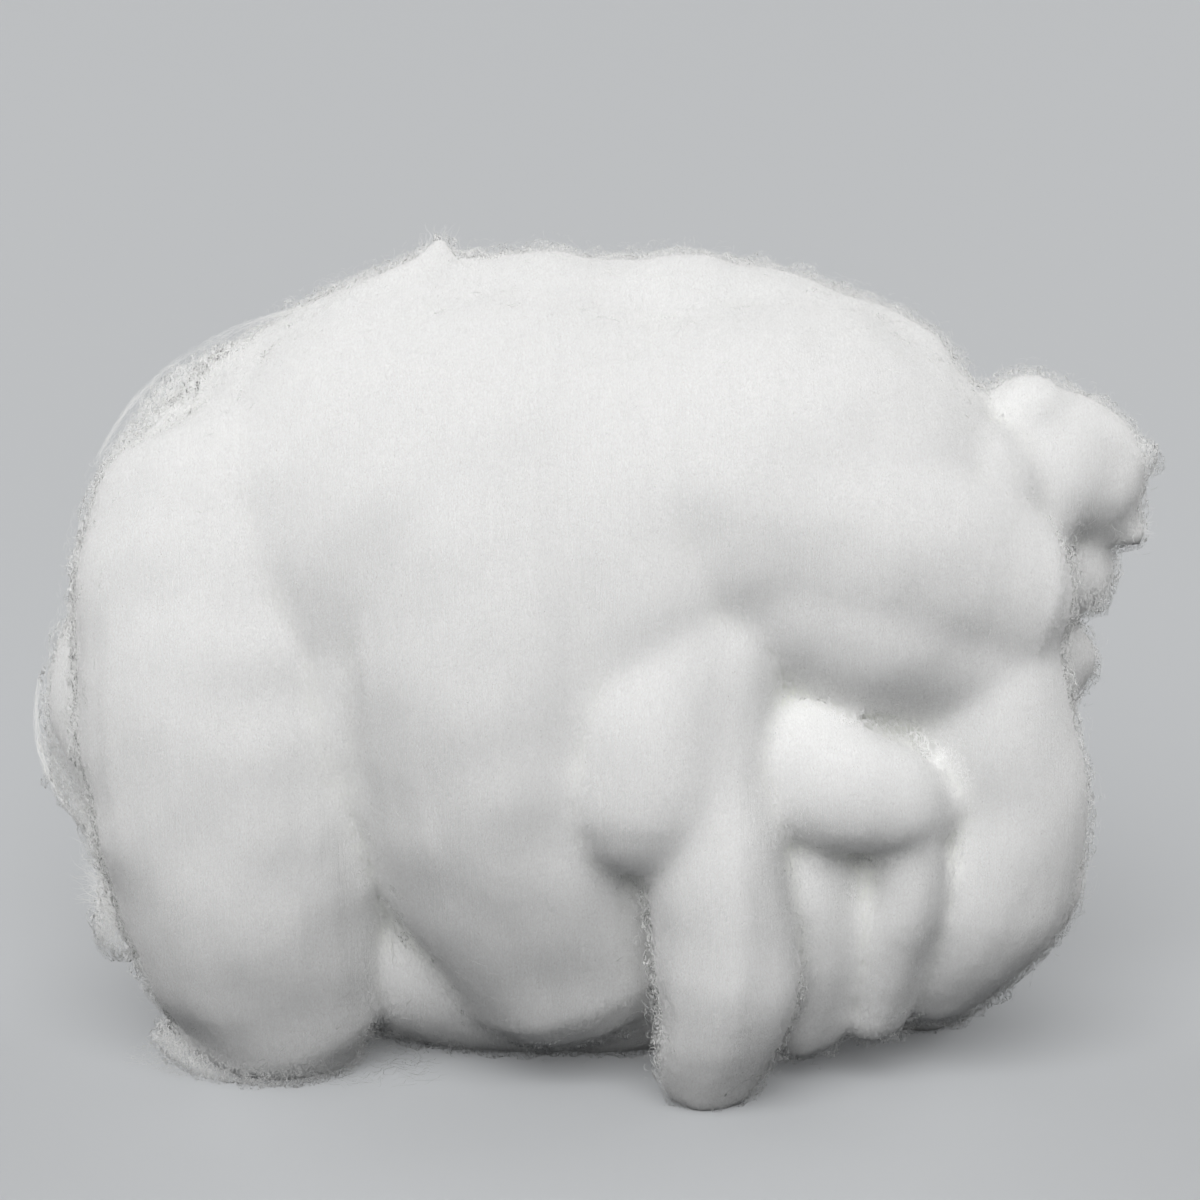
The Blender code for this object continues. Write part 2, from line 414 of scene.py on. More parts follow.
@dataclass(frozen=True)
class Fleece:
    """The carded fleece: the rolls it is gathered into, its lumps and its locks."""

    name: str = "fleece"
    cell: float = 1.9
    softening: int = 10
    lump_height: float = 0.4
    lump_size: float = 30.0
    gathers: Locks = Locks(count=700, steps=44, stride=1.6, rounds=14, height=0.22, seed=11)
    broad: Locks = Locks(count=5000, steps=20, stride=1.6, rounds=5, height=0.09, seed=12)
    fine: Locks = Locks(count=40000, steps=9, stride=1.6, rounds=1, height=0.03, seed=13)
    flow_reach: float = 5.0
    flow_rounds: int = 14
    fold_rounds: int = 60

    # The filled middle, as on the solid.
    core = (
        Swell(middle=(-10, 4, 98), reach=(96, 62, 92)),
        Swell(middle=(-24, 0, 142), reach=(98, 70, 70)),
        Swell(middle=(45, -6, 154), reach=(68, 67, 54)),
        Swell(middle=(66, -6, 92), reach=(46, 45, 66)),
        Swell(middle=(-8, 2, 36), reach=(88, 48, 38)),
        Swell(middle=(8, -26, 128), reach=(46, 50, 70)),
        Swell(middle=(-60, -16, 113), reach=(30, 46, 63)),
    )

    # The rolls, as on the solid, but for the skirt, which ends sooner here.
    rolls = (
        Roll(
            radius=36,
            route=((-78, 2, 163), (-42, 2, 180), (0, 4, 183), (44, 4, 182), (70, 2, 176)),
            girth=(1.0, 0.98, 0.93, 0.88, 0.82),
            flow=Flow.OVER,
        ),
        Roll(
            radius=39,
            route=(
                (-88, 0, 164), (-95, -16, 144), (-96, -29, 112),
                (-93, -34, 76), (-89, -33, 48), (-84, -28, 28),
            ),
            girth=(0.86, 0.97, 1.0, 0.96, 0.88, 0.76),
        ),
        Roll(
            radius=18,
            route=((-112, -6, 134), (-127, -8, 104), (-128, -9, 78), (-114, -12, 50)),
            girth=(1.0, 1.0, 1.0, 0.95),
        ),
        Roll(
            radius=10,
            route=((-102, -20, 14), (-90, -32, 9), (-77, -34, 7), (-66, -28, 7)),
            girth=(1.1, 1.0, 0.8, 0.5),
        ),
        Roll(
            radius=45,
            route=(
                (-26, -2, 178), (-26, -18, 163), (-24, -30, 142),
                (-23, -38, 110), (-18, -37, 74), (-8, -31, 44),
            ),
            girth=(0.78, 0.92, 1.0, 1.0, 0.92, 0.76),
        ),
        Roll(
            radius=23,
            route=((26, -30, 162), (24, -45, 134), (17, -60, 106), (15, -65, 89)),
            girth=(0.95, 1.0, 1.0, 0.96),
        ),
        Roll(
            radius=19,
            route=(
                (42, -30, 164), (36, -48, 132), (29, -62, 98),
                (33, -68, 64), (36, -66, 37), (32, -57, 13),
            ),
            girth=(1.1, 1.0, 0.88, 0.93, 0.92, 0.72),
        ),
        Roll(
            radius=13,
            route=((48, -46, 92), (55, -53, 66), (60, -49, 43), (57, -38, 20)),
            girth=(0.8, 0.95, 1.0, 0.9),
        ),
        Roll(
            radius=17,
            route=((38, -46, 100), (53, -56, 93), (66, -61, 88), (78, -60, 85), (84, -57, 82)),
            girth=(0.85, 1.0, 0.96, 0.82, 0.62),
        ),
        Roll(
            radius=11,
            route=((80, -57, 82), (83, -58, 62), (79, -51, 42), (75, -42, 24)),
            girth=(0.9, 0.82, 0.85, 0.9),
        ),
        Roll(
            radius=31,
            route=((16, -26, 168), (46, -40, 158), (74, -42, 145), (98, -34, 133)),
            girth=(0.95, 1.0, 1.0, 0.92),
            flow=Flow.OVER,
        ),
        Roll(
            radius=21,
            route=(
                (98, -30, 126), (104, -39, 104), (110, -42, 80),
                (105, -39, 56), (93, -28, 36),
            ),
            girth=(1.15, 1.04, 0.94, 1.02, 0.98),
        ),
        Roll(
            radius=25,
            route=((78, -4, 156), (100, -5, 159), (122, -4, 162), (130, -2, 160)),
            girth=(0.9, 0.86, 0.86, 0.76),
            flow=Flow.OVER,
        ),
        Roll(radius=14.5, route=((112, -2, 142), (127, 0, 134)), girth=(1.0, 1.0)),
        Roll(radius=13, route=((112, 8, 116), (127, 10, 106)), girth=(1.0, 0.95)),
        Roll(
            radius=26,
            route=((100, 6, 140), (106, 8, 96), (100, 8, 54), (90, 6, 24)),
            girth=(0.95, 1.0, 1.0, 0.9),
        ),
        Roll(
            radius=30,
            route=((-98, 6, 150), (-106, 6, 100), (-98, 4, 56), (-88, 2, 26)),
            girth=(0.95, 1.0, 0.95, 0.85),
        ),
        Roll(
            radius=36,
            route=((-82, 14, 158), (-92, 32, 122), (-90, 40, 74), (-80, 34, 32)),
            girth=(0.9, 1.0, 1.0, 0.85),
        ),
        Roll(
            radius=42,
            route=((-36, 12, 168), (-44, 38, 134), (-42, 48, 80), (-36, 40, 38)),
            girth=(0.92, 1.0, 1.0, 0.88),
        ),
        Roll(
            radius=36,
            route=((14, 12, 172), (14, 44, 134), (18, 54, 84), (14, 44, 34)),
            girth=(0.95, 1.0, 1.0, 0.88),
        ),
        Roll(
            radius=32,
            route=((54, 12, 166), (62, 38, 128), (60, 48, 78), (54, 38, 30)),
            girth=(0.95, 1.0, 1.0, 0.9),
        ),
        Roll(
            radius=28,
            route=((88, 10, 148), (96, 30, 112), (92, 36, 68), (84, 28, 28)),
            girth=(0.95, 1.0, 1.0, 0.9),
        ),
        Roll(
            radius=27,
            route=((-72, 42, 150), (-26, 57, 126), (26, 63, 88), (60, 50, 46)),
            girth=(0.85, 1.0, 1.0, 0.85),
        ),
    )

    # Small forms that only the photograph's outline and front show.
    lobes = (
        Roll(
            radius=10,
            route=((-58, -8, 194), (-48, -8, 204), (-41, -8, 213), (-39, -8, 221)),
            girth=(1.7, 1.3, 0.8, 0.3),
            flow=Flow.OVER,
        ),
        Roll(
            radius=22,
            route=((28, -44, 148), (48, -48, 139), (72, -50, 129), (96, -42, 120)),
            girth=(0.85, 1.0, 1.0, 0.9),
            flow=Flow.OVER,
        ),
        Swell(middle=(70, -42, 62), reach=(13, 13, 17), flow=Flow.ALONG),
        Swell(middle=(98, -24, 158), reach=(20, 20, 20)),
        Swell(middle=(110, -15, 150), reach=(18, 17, 20)),
        Swell(middle=(-10, 0, 202), reach=(22, 23, 17)),
        Swell(middle=(24, 0, 200), reach=(22, 22, 18)),
        Swell(middle=(54, 0, 192), reach=(22, 22, 19)),
        Swell(middle=(80, -2, 183), reach=(18, 22, 18)),
        Swell(middle=(117, -8, 178), reach=(11, 13, 9)),
        Roll(radius=8, route=((124, -8, 166), (137, -8, 167), (144, -8, 165)), girth=(1.8, 1.2, 0.5)),
        Roll(radius=8, route=((124, -6, 156), (137, -6, 150), (144, -6, 145)), girth=(1.8, 1.1, 0.6)),
        Roll(radius=8, route=((112, -30, 66), (120, -32, 56), (117, -32, 46)), girth=(1.2, 1.4, 1.1)),
    )

    # Where the outline is only a loose web, with the dense fleece further in.
    dents = (
        Dent(middle=(-112, -10, 190), reach=20, depth=12),
        Dent(middle=(-147, -9, 70), reach=17, depth=12),
    )

    # What only the web layers have: the web at the top left, the lower half of the ear, the
    # tuft at the lower left, the skirt's fringe, the peak, and puffs on the outline.
    loose = (
        Roll(
            radius=4,
            route=(
                (-127, -10, 158), (-116, -10, 175), (-106, -10, 186),
                (-95, -9, 191), (-80, -8, 194), (-66, -8, 200),
            ),
            girth=(0.9, 1.0, 1.0, 0.9, 1.0, 1.0),
        ),
        Roll(
            radius=4,
            route=((-141, -9, 96), (-142, -9, 82), (-138, -9, 69), (-129, -10, 58), (-118, -12, 50)),
            girth=(1.0, 1.1, 0.9, 0.7, 0.7),
        ),
        Swell(middle=(-127, -12, 37), reach=(8, 7, 10)),
        Swell(middle=(-133, -12, 128), reach=(5, 5, 9)),
        Roll(
            radius=6,
            route=((-113, -26, 9), (-98, -39, 7), (-80, -43, 6), (-64, -35, 6)),
            girth=(0.8, 1.0, 0.9, 0.5),
        ),
        Swell(middle=(-40, -8, 218), reach=(3, 3, 8)),
        Swell(middle=(-30, -8, 213), reach=(6, 4, 5)),
        Swell(middle=(146, -8, 166), reach=(6, 5, 4)),
        Swell(middle=(142, -7, 146), reach=(6, 5, 5)),
        Swell(middle=(134, -6, 128), reach=(6, 6, 7)),
    )

    def shift(self, skin: Skin) -> Array:
        """How far the skin moves to stand as the solid does, by its box in the frame."""
        low, high = (np.array(corner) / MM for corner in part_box(NODE))
        middle = (skin.points.min(0) + skin.points.max(0)) / 2
        move = (low + high) / 2 - middle
        return np.array([move[0], move[1], -PRESSED_DEPTH])

    def forms_flow(self, skin: Skin, move: Array) -> Array:
        """The flow at each skin point, mixed from the forms that are near it.

        Each form counts by exp(-gap / flow_reach), where gap is the distance to the form's
        own surface. Its heading is turned to agree with a turn about the X axis that goes
        up the back and down the front.
        """
        points = skin.points - move
        middle = np.array([0.0, 0.0, 100.0])
        over = unit(np.cross([1.0, 0.0, 0.0], points - middle))
        total = over * 0.02
        for form in self.core + self.rolls + self.lobes:
            if isinstance(form, Swell):
                reach = np.array(form.reach, float)
                share = np.linalg.norm((points - form.middle) / reach, axis=1)
                gap = (share - 1) * reach.min()
                heading = over
            else:
                line = form.line()
                squares = (points**2).sum(1)[:, None] + (line[:, :3] ** 2).sum(1)
                apart = np.sqrt(np.maximum(squares - 2 * points @ line[:, :3].T, 0))
                nearest = (apart - line[:, 3]).argmin(1)
                gap = apart[np.arange(len(points)), nearest] - line[nearest, 3]
                heading = unit(np.gradient(line[:, :3], axis=0))[nearest]
                if form.flow is Flow.OVER:
                    heading = over
            heading = heading * np.sign(along(heading, over) + 1e-6)
            total = total + heading * np.exp(-np.maximum(gap, 0) / self.flow_reach)[:, None]
        return total

    def worked(self) -> Skin:
        """The finished skin: fused, softened, set on its origin, and given its relief."""
        forms = self.core + self.rolls + self.lobes
        skin = remeshed([form.surface() for form in forms], self.cell)
        skin.points = skin.smoothed(skin.points, self.softening)
        skin.move = move = self.shift(skin)
        skin.points = skin.points + move
        skin.normals = skin.worked_normals()
        for dent in self.dents:
            skin.points = skin.dented(dent)
        skin.set_flow(self.forms_flow(skin, move), self.flow_rounds)
        low = np.clip(1.5 - skin.points[:, 2] / 90, 0.6, 1.5)
        height = self.lump_height * soft_noise(skin.points, self.lump_size, 40, seed=21)
        height = height + (skin.relief(self.gathers) + skin.relief(self.broad)) * low
        height = height + skin.relief(self.fine)
        skin.points = skin.points + skin.normals * height[:, None]
        skin.points[:, 2] = np.maximum(skin.points[:, 2], 0)
        skin.normals = skin.worked_normals()
        skin.depth = skin.fold_depth(self.fold_rounds)
        return skin

    def build(self, skin: Skin, finish: "CardedCotton") -> bpy.types.Object:
        """The fleece's object, with its fold depth as an attribute, by which its material mixes in a
        painted fold shade.

        Args:
            skin: the finished skin.
            finish: what it is dressed in.

        Returns:
            The finished piece, which stands for the solid.
        """
        piece = piece_of(self.name, skin.points, skin.quads, [finish.material()])
        layer = piece.data.attributes.new("fold_depth", "FLOAT", "POINT")
        layer.data.foreach_set("value", skin.depth.astype(np.float32))
        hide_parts(NODE)
        return piece


def piece_of(name: str, points: Array, faces: Array, finishes: list) -> bpy.types.Object:
    """Makes a smooth-shaded piece that rides on the part's body.

    Args:
        name: the piece's name.
        points: its points in millimetres.
        faces: its faces, which all have the same number of corners.
        finishes: its materials.

    Returns:
        The new object, at the origin.
    """
    mesh = bpy.data.meshes.new(name)
    mesh.vertices.add(len(points))
    mesh.vertices.foreach_set("co", (points * MM).astype(np.float32).ravel())
    mesh.loops.add(faces.size)
    mesh.loops.foreach_set("vertex_index", faces.astype(np.int32).ravel())
    mesh.polygons.add(len(faces))
    starts = np.arange(len(faces), dtype=np.int32) * faces.shape[1]
    mesh.polygons.foreach_set("loop_start", starts)
    mesh.update(calc_edges=True)
    mesh.shade_smooth()
    for finish in finishes:
        mesh.materials.append(finish)
    piece = bpy.data.objects.new(name, mesh)
    bpy.context.scene.collection.objects.link(piece)
    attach(piece, BODY)
    return piece


@dataclass(frozen=True)
class WebLayers:
    """Thin webs of loose fibre, one over the other, in which the fleece fades out.

    Each layer has its height over the fleece in millimetres and the width of its fibres,
    as a share of the noise that draws them. ripple is how much the height changes, and
    ripple_size how far apart its lumps are.
    """

    name: str = "web"
    cell: float = 3.1
    softening: int = 2
    layers: tuple = ((0.6, 0.016), (1.2, 0.012), (1.9, 0.009))
    ripple: float = 0.55
    ripple_size: float = 8.0
    lowest: float = 0.05

    def build(self, skin: Skin, loose: tuple, finish: "LooseWeb") -> list:
        """Makes one piece for each layer.

        Args:
            skin: the finished fleece.
            loose: the forms that only the web has.
            finish: what the layers are dressed in.

        Returns:
            The pieces, from the lowest layer up.
        """
        forms = [form.surface() for form in loose]
        forms = [(points + skin.move, faces) for points, faces in forms]
        base = remeshed([(skin.points, skin.quads.tolist()), *forms], self.cell)
        base.points = base.smoothed(base.points, self.softening)
        normals = unit(base.smoothed(base.worked_normals(), self.softening))
        pieces = []
        for number, (rise, width) in enumerate(self.layers, start=1):
            ripple = soft_noise(base.points, self.ripple_size, 40, seed=50 + number)
            height = rise * np.clip(1 + self.ripple * ripple, 0.1, 2.2)
            points = base.points + normals * height[:, None]
            points[:, 2] = np.maximum(points[:, 2], self.lowest * number)
            name = f"{self.name}_{number}"
            piece = piece_of(name, points, base.quads, [finish.material(name, width)])
            piece.data.normals_split_custom_set_from_vertices(lit(normals, rise))
            let_light_by(piece)
            pieces.append(piece)
        return pieces


def spun(
    name: str, spines: Array, radius: float, tints: Array, finishes: list, facing: Array
) -> bpy.types.Object:
    """Makes fibres of three-sided section, which taper to a point at both ends.

    The ring at each inner point of a spine has three corners, a third of a turn apart, at
    radius times sin(pi s) to the power of 0.4, with s from 0 to 1 along the fibre. A fibre
    is too thin to have a dark side, so it is shaded as the fleece below it is, and casts
    no shadow of its own.

    Args:
        name: the piece's name.
        spines: places by fibre and by point along it.
        radius: a fibre's radius in the middle.
        tints: which of the finishes each fibre has.
        finishes: the piece's materials.
        facing: the normal of the fleece below, by fibre and, if it changes, by point.

    Returns:
        The piece that holds all the fibres.
    """
    fibres, knots = spines.shape[:2]
    rings = knots - 2
    heading = unit(np.gradient(spines, axis=1))
    facing = np.broadcast_to(facing, spines.shape)
    loose = facing + np.random.default_rng(5).normal(0, 0.1, (fibres, 1, 3))
    side = unit(loose - along(loose, heading) * heading)
    up = np.cross(heading, side)
    turn = np.array([0, 2, 4])[:, None] * np.pi / 3
    flatness = 0.35
    s = np.linspace(0, 1, knots)[1:-1]
    girth = (radius * np.sin(np.pi * s) ** 0.4)[None, :, None, None]
    inner = slice(1, -1)
    ring = flatness * np.cos(turn) * side[:, inner, None] + np.sin(turn) * up[:, inner, None]
    walls = (spines[:, inner, None] + girth * ring).reshape(fibres, rings * 3, 3)
    points = np.concatenate([walls, spines[:, :1], spines[:, -1:]], axis=1)
    faces = fibre_faces(rings)
    per_fibre = rings * 3 + 2
    every = faces[None] + np.arange(fibres)[:, None, None] * per_fibre
    piece = piece_of(name, points.reshape(-1, 3), every.reshape(-1, 3), finishes)
    piece.data.polygons.foreach_set("material_index", np.repeat(tints, len(faces)).astype(np.int32))
    own = facing[:, inner, None] + 0.15 * ring
    ends = [facing[:, :1], facing[:, -1:]]
    own = np.concatenate([own.reshape(fibres, rings * 3, 3), *ends], axis=1)
    piece.data.normals_split_custom_set_from_vertices(unit(own).reshape(-1, 3))
    let_light_by(piece)
    return piece


def let_light_by(piece: bpy.types.Object) -> None:
    """Lets the light that reaches the fleece pass a piece of loose fibre, as it is so thin."""
    piece.visible_shadow = False
    piece.visible_diffuse = False


def lit(normal: Array, rise: float) -> Array:
    """The normal that a fibre is shaded with.

    Over the fleece's front it is the fleece's own, so that the fibres melt into it. On the
    outline, light reaches a fibre from above and from the front, also where the fleece
    below it faces away. So a heading up and forwards is mixed in, which counts 0.5 for
    each millimetre of rise on the outline, and hardly anything in front. It falls to
    nothing on what faces down.

    Args:
        normal: the fleece's normals.
        rise: how far the fibres stand off it, in millimetres.

    Returns:
        The mixed normals.
    """
    facing = normal @ np.array([0.0, -0.98, 0.2])
    share = 0.04 + 0.96 * np.exp(-((facing / 0.35) ** 2))
    share = share * np.clip(1.1 + 1.3 * normal[..., 2], 0, 1)
    return unit(normal + 0.5 * rise * share[..., None] * np.array([0.0, -0.5, 0.87]))


def fibre_faces(rings: int) -> Array:
    """The triangles of one fibre, whose rings come first and its two tips last."""
    index = np.arange(rings * 3).reshape(rings, 3)
    ahead = np.roll(index, -1, axis=1)
    a, b, c, d = index[:-1], ahead[:-1], ahead[1:], index[1:]
    walls = np.concatenate([np.stack([a, b, c], -1), np.stack([a, c, d], -1)]).reshape(-1, 3)
    root = np.full(3, rings * 3)
    first = np.stack([root, ahead[0], index[0]], -1)
    last = np.stack([index[-1], ahead[-1], root + 1], -1)
    return np.vstack([walls, first, last])


def root_chance(skin: Skin, back_share: float, edge_share: float = 0.0) -> Array:
    """How likely a fibre starts at each skin point.

    It is even in front, falls to back_share at the back, and is nearly nothing on what
    faces down. Where the skin turns from front to back, which is its outline, it is up to
    edge_share times as much again. None start on the foot, which is pressed onto the table.
    """
    facing = skin.normals @ np.array([0.0, -0.98, 0.2])
    front = np.clip(0.75 + facing * 1.5, 0, 1)
    edge = 1 + edge_share * np.exp(-((facing / 0.3) ** 2))
    down = np.clip(1.15 + skin.normals[:, 2], 0.1, 1)
    chance = (back_share + (1 - back_share) * front) * edge * down * (skin.points[:, 2] > 1.0)
    return chance / chance.sum()


def tint_of(skin: Skin, at: Array, rng: np.random.Generator) -> Array:
    """Which tint each fibre has: the painted fold shade in the folds, else one of the two whites."""
    tint = rng.integers(0, 2, len(at))
    # Fibres deep in the folds get tint 2, the painted fold shade.
    tint[skin.depth[at] + rng.normal(0, 0.5, len(at)) > 2.2] = 2
    return tint


@dataclass(frozen=True)
class Nap:
    """Combed fibres that lie along the fleece.

    stray is the usual angle to the flow in degrees, and rise is how far a fibre's ends
    stand off the fleece. wave is how far its crimp bends it aside, once in every crimp of
    its length.
    """

    name: str
    count: int
    knots: int
    length: float
    radius: float
    stray: float
    rise: float
    most_rise: float
    wave: float
    crimp: float
    back_share: float
    seed: int

    def build(self, skin: Skin, finishes: list) -> bpy.types.Object:
        """Lays the fibres and makes their piece.

        A fibre's distance from the skin grows with the square of the way along it, and its
        crimp is a sine of that way, across the fibre and off the skin.
        """
        rng = np.random.default_rng(self.seed)
        at = rng.choice(len(skin.points), self.count, p=root_chance(skin, self.back_share))
        substeps = 2
        steps = (self.knots - 1) * substeps
        stray = np.radians(rng.normal(0, self.stray, self.count))
        way = rng.choice([0.0, np.pi], self.count)
        places, spots = skin.walk(at, self.length / steps, steps, stray + way)
        places, spots = places[:, ::substeps], spots[:, ::substeps]
        s = np.linspace(0, 1, self.knots)[None, :, None]
        normal = skin.normals[spots]
        rise = np.minimum(rng.exponential(self.rise, (self.count, 1, 1)), self.most_rise)
        across = np.cross(normal, unit(np.gradient(places, axis=1)))
        turns = 2 * np.pi * self.length / self.crimp
        start = rng.uniform(0, 2 * np.pi, (2, self.count, 1, 1))
        swing = self.wave * rng.uniform(0.4, 1.6, (2, self.count, 1, 1))
        sway = swing[0] * np.sin(turns * s + start[0])
        lift = swing[1] * (1 + np.sin(turns * 0.8 * s + start[1])) * 0.5
        places = places + across * sway + normal * (rise * s**2 + lift)
        places[..., 2] = np.maximum(places[..., 2], self.radius)
        tints = tint_of(skin, at, rng)
        return spun(self.name, places, self.radius, tints, finishes, lit(normal, self.rise))


@dataclass(frozen=True)
class Fuzz:
    """Short curled ends and loops of fibre, which make the soft edge of the fleece.

    rise is their usual height over the fleece, and bend the usual radius of their curl.
    """

    name: str
    count: int
    knots: int
    length: float
    radius: float
    rise: float
    most_rise: float
    bend: float
    back_share: float
    edge_share: float
    seed: int

    def build(self, skin: Skin, finishes: list) -> bpy.types.Object:
        """Sets the loops and makes their piece.

        Each is an arc of a circle about its highest point: at d along it from there it
        lies at R sin(d / R) along its heading and R (1 - cos(d / R)) towards its inside,
        which leans at random round the heading from the way into the skin.
        """
        rng = np.random.default_rng(self.seed)
        chance = root_chance(skin, self.back_share, self.edge_share)
        at = rng.choice(len(chance), self.count, p=chance)
        normal, flow = skin.normals[at], skin.flow[at]
        angle = rng.normal(0, 0.9, (self.count, 1))
        across = np.cross(normal, flow)
        heading = np.cos(angle) * flow + np.sin(angle) * across
        tilt = rng.normal(0, 0.35, (self.count, 1))
        heading = unit(heading + tilt * normal)
        inside = -normal + along(normal, heading) * heading
        lean = rng.uniform(-1.3, 1.3, (self.count, 1))
        inside = np.cos(lean) * unit(inside) + np.sin(lean) * np.cross(heading, unit(inside))
        bend = self.bend * rng.uniform(0.5, 2.0, (self.count, 1))
        reach = self.length * rng.uniform(0.6, 1.3, (self.count, 1)) / 2
        d = np.linspace(-1, 1, self.knots) * reach
        rise = np.minimum(rng.exponential(self.rise, (self.count, 1)), self.most_rise)
        jitter = skin.beside_spread(at, rng)
        top = skin.points[at] + jitter + normal * rise
        places = top[:, None] + (bend * np.sin(d / bend))[..., None] * heading[:, None]
        places = places + (bend * (1 - np.cos(d / bend)))[..., None] * inside[:, None]
        places[..., 2] = np.maximum(places[..., 2], self.radius)
        tints = tint_of(skin, at, rng)
        facing = lit(normal[:, None], self.rise)
        return spun(self.name, places, self.radius, tints, finishes, facing)


@dataclass(frozen=True)
class Wisp:
    """A loose tuft: where it leaves the fleece, which way it goes and how it spreads.

    reach is the size of its root, bend how far in degrees its fibres curl over their
    length, and spread how far in degrees they part.
    """

    root: tuple
    heading: tuple
    reach: float
    length: float
    spread: float
    bend: float
    count: int

    def spines(self, skin: Skin, knots: int, rng: np.random.Generator) -> Array:
        """The tuft's fibres.

        A fibre is an arc of a circle: with k the bend for each millimetre and d the way
        along, it lies at sin(k d) / k ahead and (1 - cos(k d)) / k aside, with a small
        sine across for its crimp.
        """
        apart = np.linalg.norm(skin.points - np.array(self.root), axis=1)
        chance = np.exp(-((apart / self.reach) ** 2))
        at = rng.choice(len(chance), self.count, p=chance / chance.sum())
        ahead = unit(np.array(self.heading, float))
        loose = rng.normal(size=(self.count, 3)) * math.radians(self.spread)
        ahead = unit(ahead + loose)
        aside = unit(np.cross(ahead, rng.normal(size=(self.count, 3))))
        length = self.length * rng.uniform(0.3, 1.0, (self.count, 1))
        turn = np.radians(self.bend) * rng.normal(1, 0.5, (self.count, 1)) / length
        turn = np.where(np.abs(turn) < 1e-4, 1e-4, turn)
        d = np.linspace(0, 1, knots) * length
        path = (np.sin(turn * d) / turn)[..., None] * ahead[:, None]
        path = path + ((1 - np.cos(turn * d)) / turn)[..., None] * aside[:, None]
        crimp = 0.3 * np.sin(d / 0.8 + rng.uniform(0, 6.3, (self.count, 1)))[..., None]
        return skin.points[at][:, None] + path + crimp * np.cross(ahead, aside)[:, None]


@dataclass(frozen=True)
class Veil:
    """A thin web of fibres between the fleece and a free rim.

    inner and rim are each a start, a point that the edge bends towards, and an end.
    """

    inner: tuple
    rim: tuple
    count: int
    rim_share: float = 0.25
    length: float = 8.0

    def spines(self, knots: int, rng: np.random.Generator) -> Array:
        """The web's fibres.

        A point of the web is (1 - v) inner(u) + v rim(u), where each edge is the parabola
        (1 - u)^2 a + 2 u (1 - u) b + u^2 c. Fibres run mostly along the edges, with a
        crimp, and rim_share of them are gathered on the rim.
        """
        u = rng.uniform(0, 1, (self.count, 1))
        v = rng.uniform(0, 1, (self.count, 1)) ** 1.3
        on_rim = rng.uniform(size=(self.count, 1)) < self.rim_share
        v = np.where(on_rim, 1 + rng.normal(0, 0.03, v.shape), v)
        angle = rng.normal(0, 1, v.shape) * np.where(on_rim, 0.12, 0.8)
        span = np.linalg.norm(np.subtract(self.rim[2], self.rim[0]))
        depth = np.linalg.norm(np.subtract(self.rim[1], self.inner[1]))
        s = np.linspace(-0.5, 0.5, knots) * self.length
        ripple = rng.uniform(0, 6.3, (2, self.count, 1))
        sway = 0.35 * np.sin(s / 0.55 + ripple[0])
        u = np.clip(u + (np.cos(angle) * s - np.sin(angle) * sway) / span, -0.03, 1.03)
        v = v + (np.sin(angle) * s + np.cos(angle) * sway) / depth
        v = np.clip(v, -0.1, 1.06)
        inner, rim = self.edge(self.inner, u), self.edge(self.rim, u)
        places = inner + v[..., None] * (rim - inner)
        normal = unit(np.cross(np.subtract(self.rim[2], self.rim[0]),
                               np.subtract(self.rim[1], self.inner[1])))
        off = rng.normal(0, 0.7, (self.count, 1)) + 0.35 * np.sin(s / 0.7 + ripple[1])
        return places + off[..., None] * normal

    @staticmethod
    def edge(ends: tuple, u: Array) -> Array:
        """Points of one edge at u."""
        a, b, c = (np.array(end, float) for end in ends)
        u = u[..., None]
        return (1 - u) ** 2 * a + 2 * u * (1 - u) * b + u**2 * c


@dataclass(frozen=True)
class Wisps:
    """The tufts and webs that leave the outline."""

    name: str = "wisps"
    knots: int = 9
    radius: float = 0.04
    rise: float = 4.0
    seed: int = 71

    def build(self, skin: Skin, tufts: tuple, veils: tuple, finishes: list) -> bpy.types.Object:
        """Draws every tuft's and web's fibres and makes them one piece."""
        rng = np.random.default_rng(self.seed)
        spines = [tuft.spines(skin, self.knots, rng) for tuft in tufts]
        spines += [veil.spines(self.knots, rng) for veil in veils]
        places = np.vstack(spines)
        places[..., 2] = np.maximum(places[..., 2], self.radius)
        tints = rng.integers(0, 2, len(places))
        facing = unit(places.mean(1, keepdims=True) - np.array([0.0, 0.0, 90.0]))
        return spun(self.name, places, self.radius, tints, finishes, lit(facing, self.rise))


def add_node(tree: bpy.types.NodeTree, kind: str, settings: dict, links: dict) -> bpy.types.Node:
    """Adds a node to a tree.

    Args:
        tree: the node tree.
        kind: the node's type.
        settings: values by property name, or by the name of an input.
        links: the output that feeds each named input.

    Returns:
        The new node.
    """
    node = tree.nodes.new(kind)
    for name, value in settings.items():
        if isinstance(name, str) and name in node.bl_rna.properties:
            setattr(node, name, value)
        else:
            node.inputs[name].default_value = value
    for name, output in links.items():
        tree.links.new(output, node.inputs[name])
    return node


def new_material(name: str) -> tuple[bpy.types.Material, bpy.types.NodeTree, bpy.types.Node]:
    """A new material with its node tree and its Principled shader."""
    material = bpy.data.materials.new(name)
    material.use_nodes = True
    tree = material.node_tree
    return material, tree, tree.nodes["Principled BSDF"]


